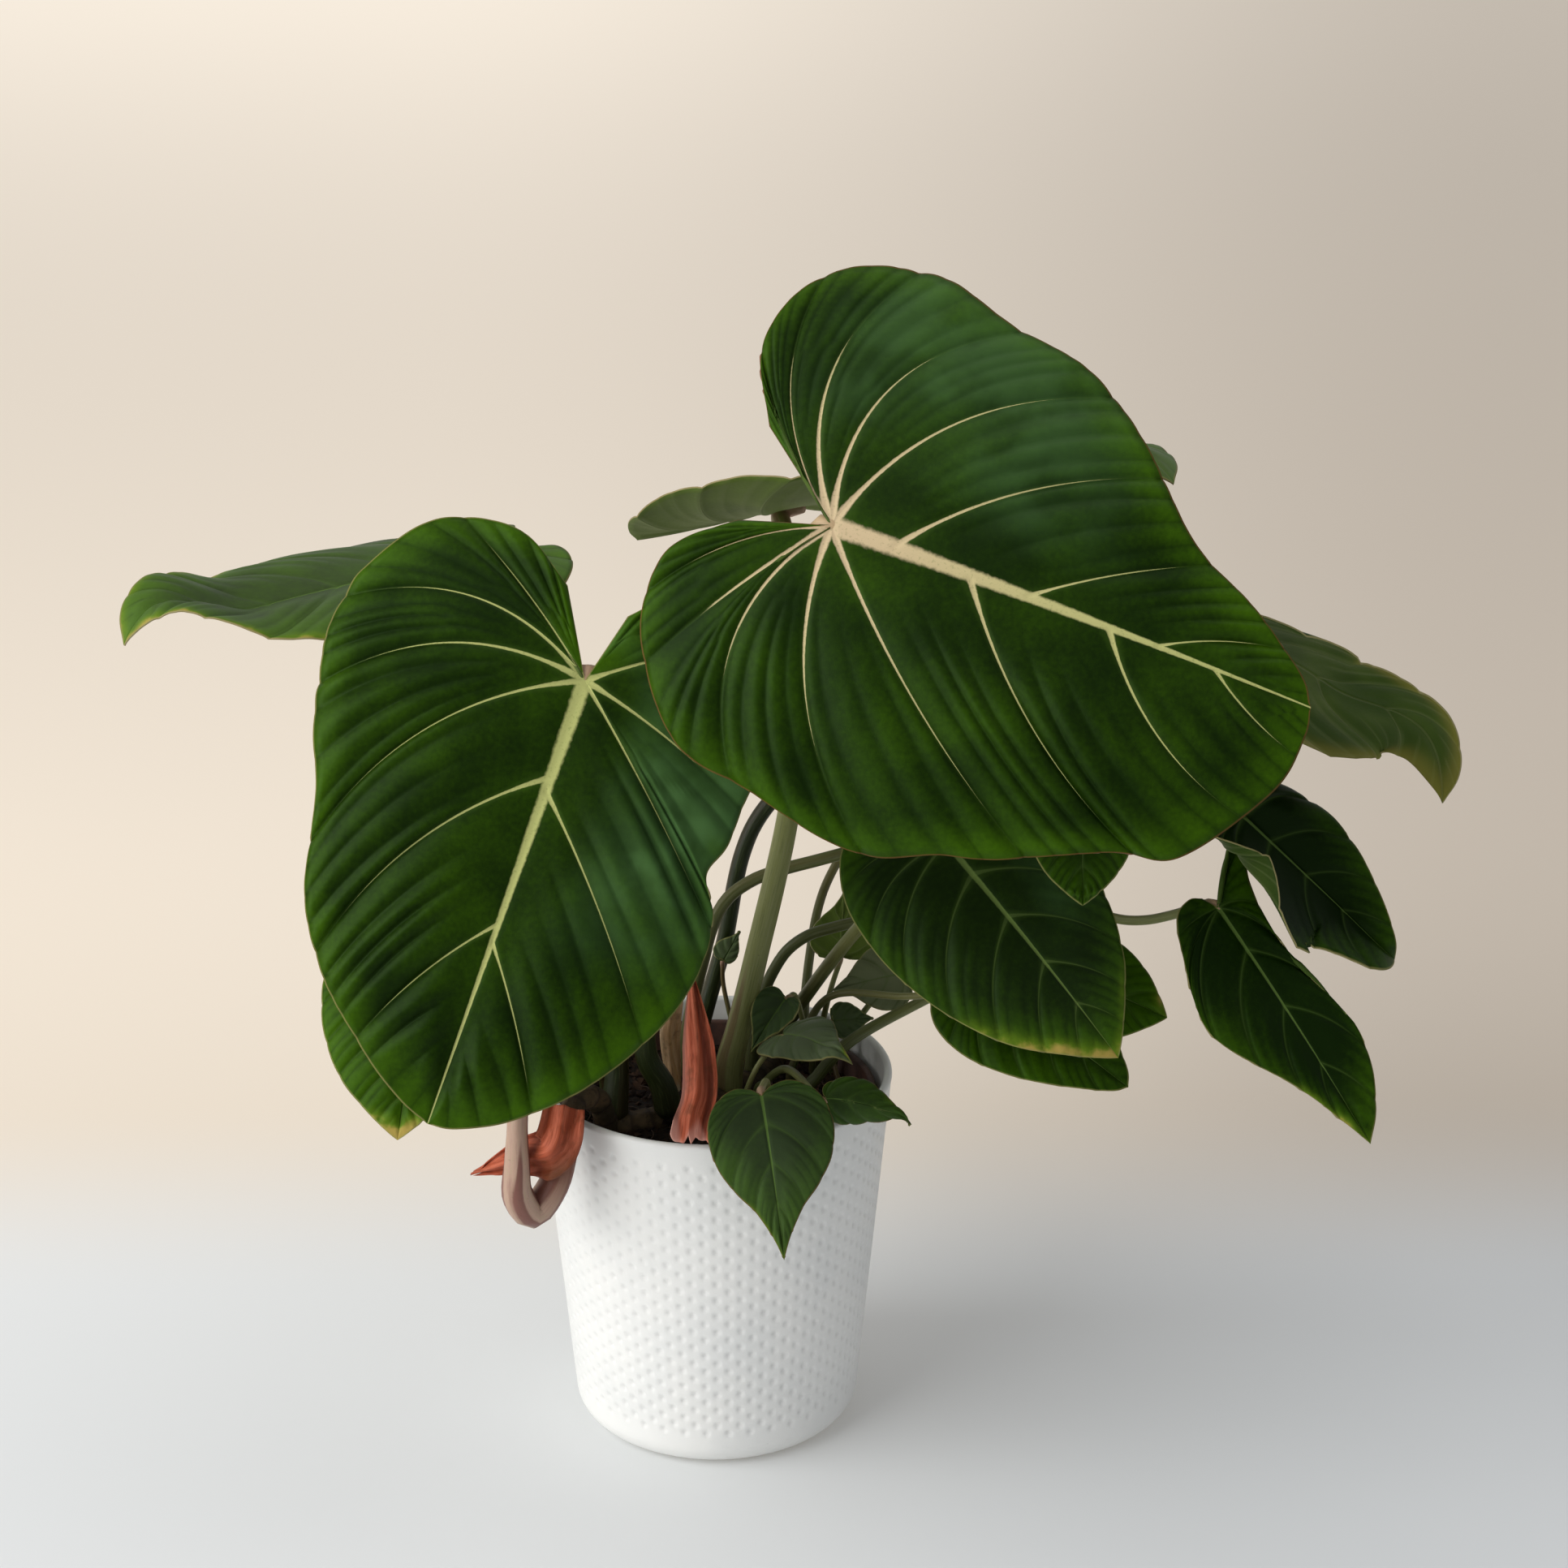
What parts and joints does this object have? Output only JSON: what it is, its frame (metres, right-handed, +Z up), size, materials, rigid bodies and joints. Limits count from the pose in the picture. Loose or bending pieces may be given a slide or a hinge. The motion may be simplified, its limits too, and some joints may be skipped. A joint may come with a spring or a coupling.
{
  "type": "potted philodendron",
  "caption": "Creeping foliage plant with velvety heart-shaped leaves and pale veins, in a nursery pot inside a dimpled round cover pot.",
  "frame": {"origin": "centre of the cover pot's flat foot", "axes": "+Z up along the pot's axis, -Y towards the front, +X towards the right as seen from the front"},
  "size_m": [0.6041, 0.3756, 0.5714],
  "materials": {
    "cover_pot": "satin white with small pressed dimples",
    "grow_pot": "dull brown thin-walled nursery plastic",
    "potting_mix": "moist dark bark and coir",
    "rhizome": "rough brown creeping stem",
    "leaf": "velvety deep green with pale green veins and grey-green underside",
    "stalk": "striped olive green and red-brown, slightly waxy",
    "bract_red": "papery salmon red, drying brown",
    "bract_tan": "dry tan paper"
  },
  "bodies": {
    "root": {"cover_pot": "cover_pot", "grow_pot": "grow_pot", "potting_mix": "potting_mix", "rhizome": "rhizome", "rhizome_side_shoot": "rhizome", "leaf_top_right": "leaf", "leaf_front_left": "leaf", "leaf_far_left": "leaf", "leaf_low_left": "leaf", "leaf_back": "leaf", "leaf_far_right": "leaf", "leaf_right": "leaf", "leaf_low_right": "leaf", "leaf_middle": "leaf", "leaf_behind_middle": "leaf", "leaf_under_middle": "leaf", "leaf_pleated": "leaf", "leaf_over_rim": "leaf", "leaf_rim_right": "leaf", "leaf_young_grey": "leaf", "leaf_young_folded": "leaf", "leaf_young_right": "leaf", "leaf_young_pale": "leaf", "leaf_young_left": "leaf", "leaf_young_back": "leaf", "stalk_top_right": "stalk", "stalk_front_left": "stalk", "stalk_far_left": "stalk", "stalk_low_left": "stalk", "stalk_back": "stalk", "stalk_far_right": "stalk", "stalk_right": "stalk", "stalk_low_right": "stalk", "stalk_middle": "stalk", "stalk_behind_middle": "stalk", "stalk_under_middle": "stalk", "stalk_pleated": "stalk", "stalk_over_rim": "stalk", "stalk_rim_right": "stalk", "stalk_young_grey": "stalk", "stalk_young_folded": "stalk", "stalk_young_right": "stalk", "stalk_young_pale": "stalk", "stalk_young_left": "stalk", "stalk_young_back": "stalk", "sheath_red_front": "bract_red", "sheath_red_over_rim": "bract_red", "sheath_tan_dry": "bract_tan"}
  },
  "joints": []
}
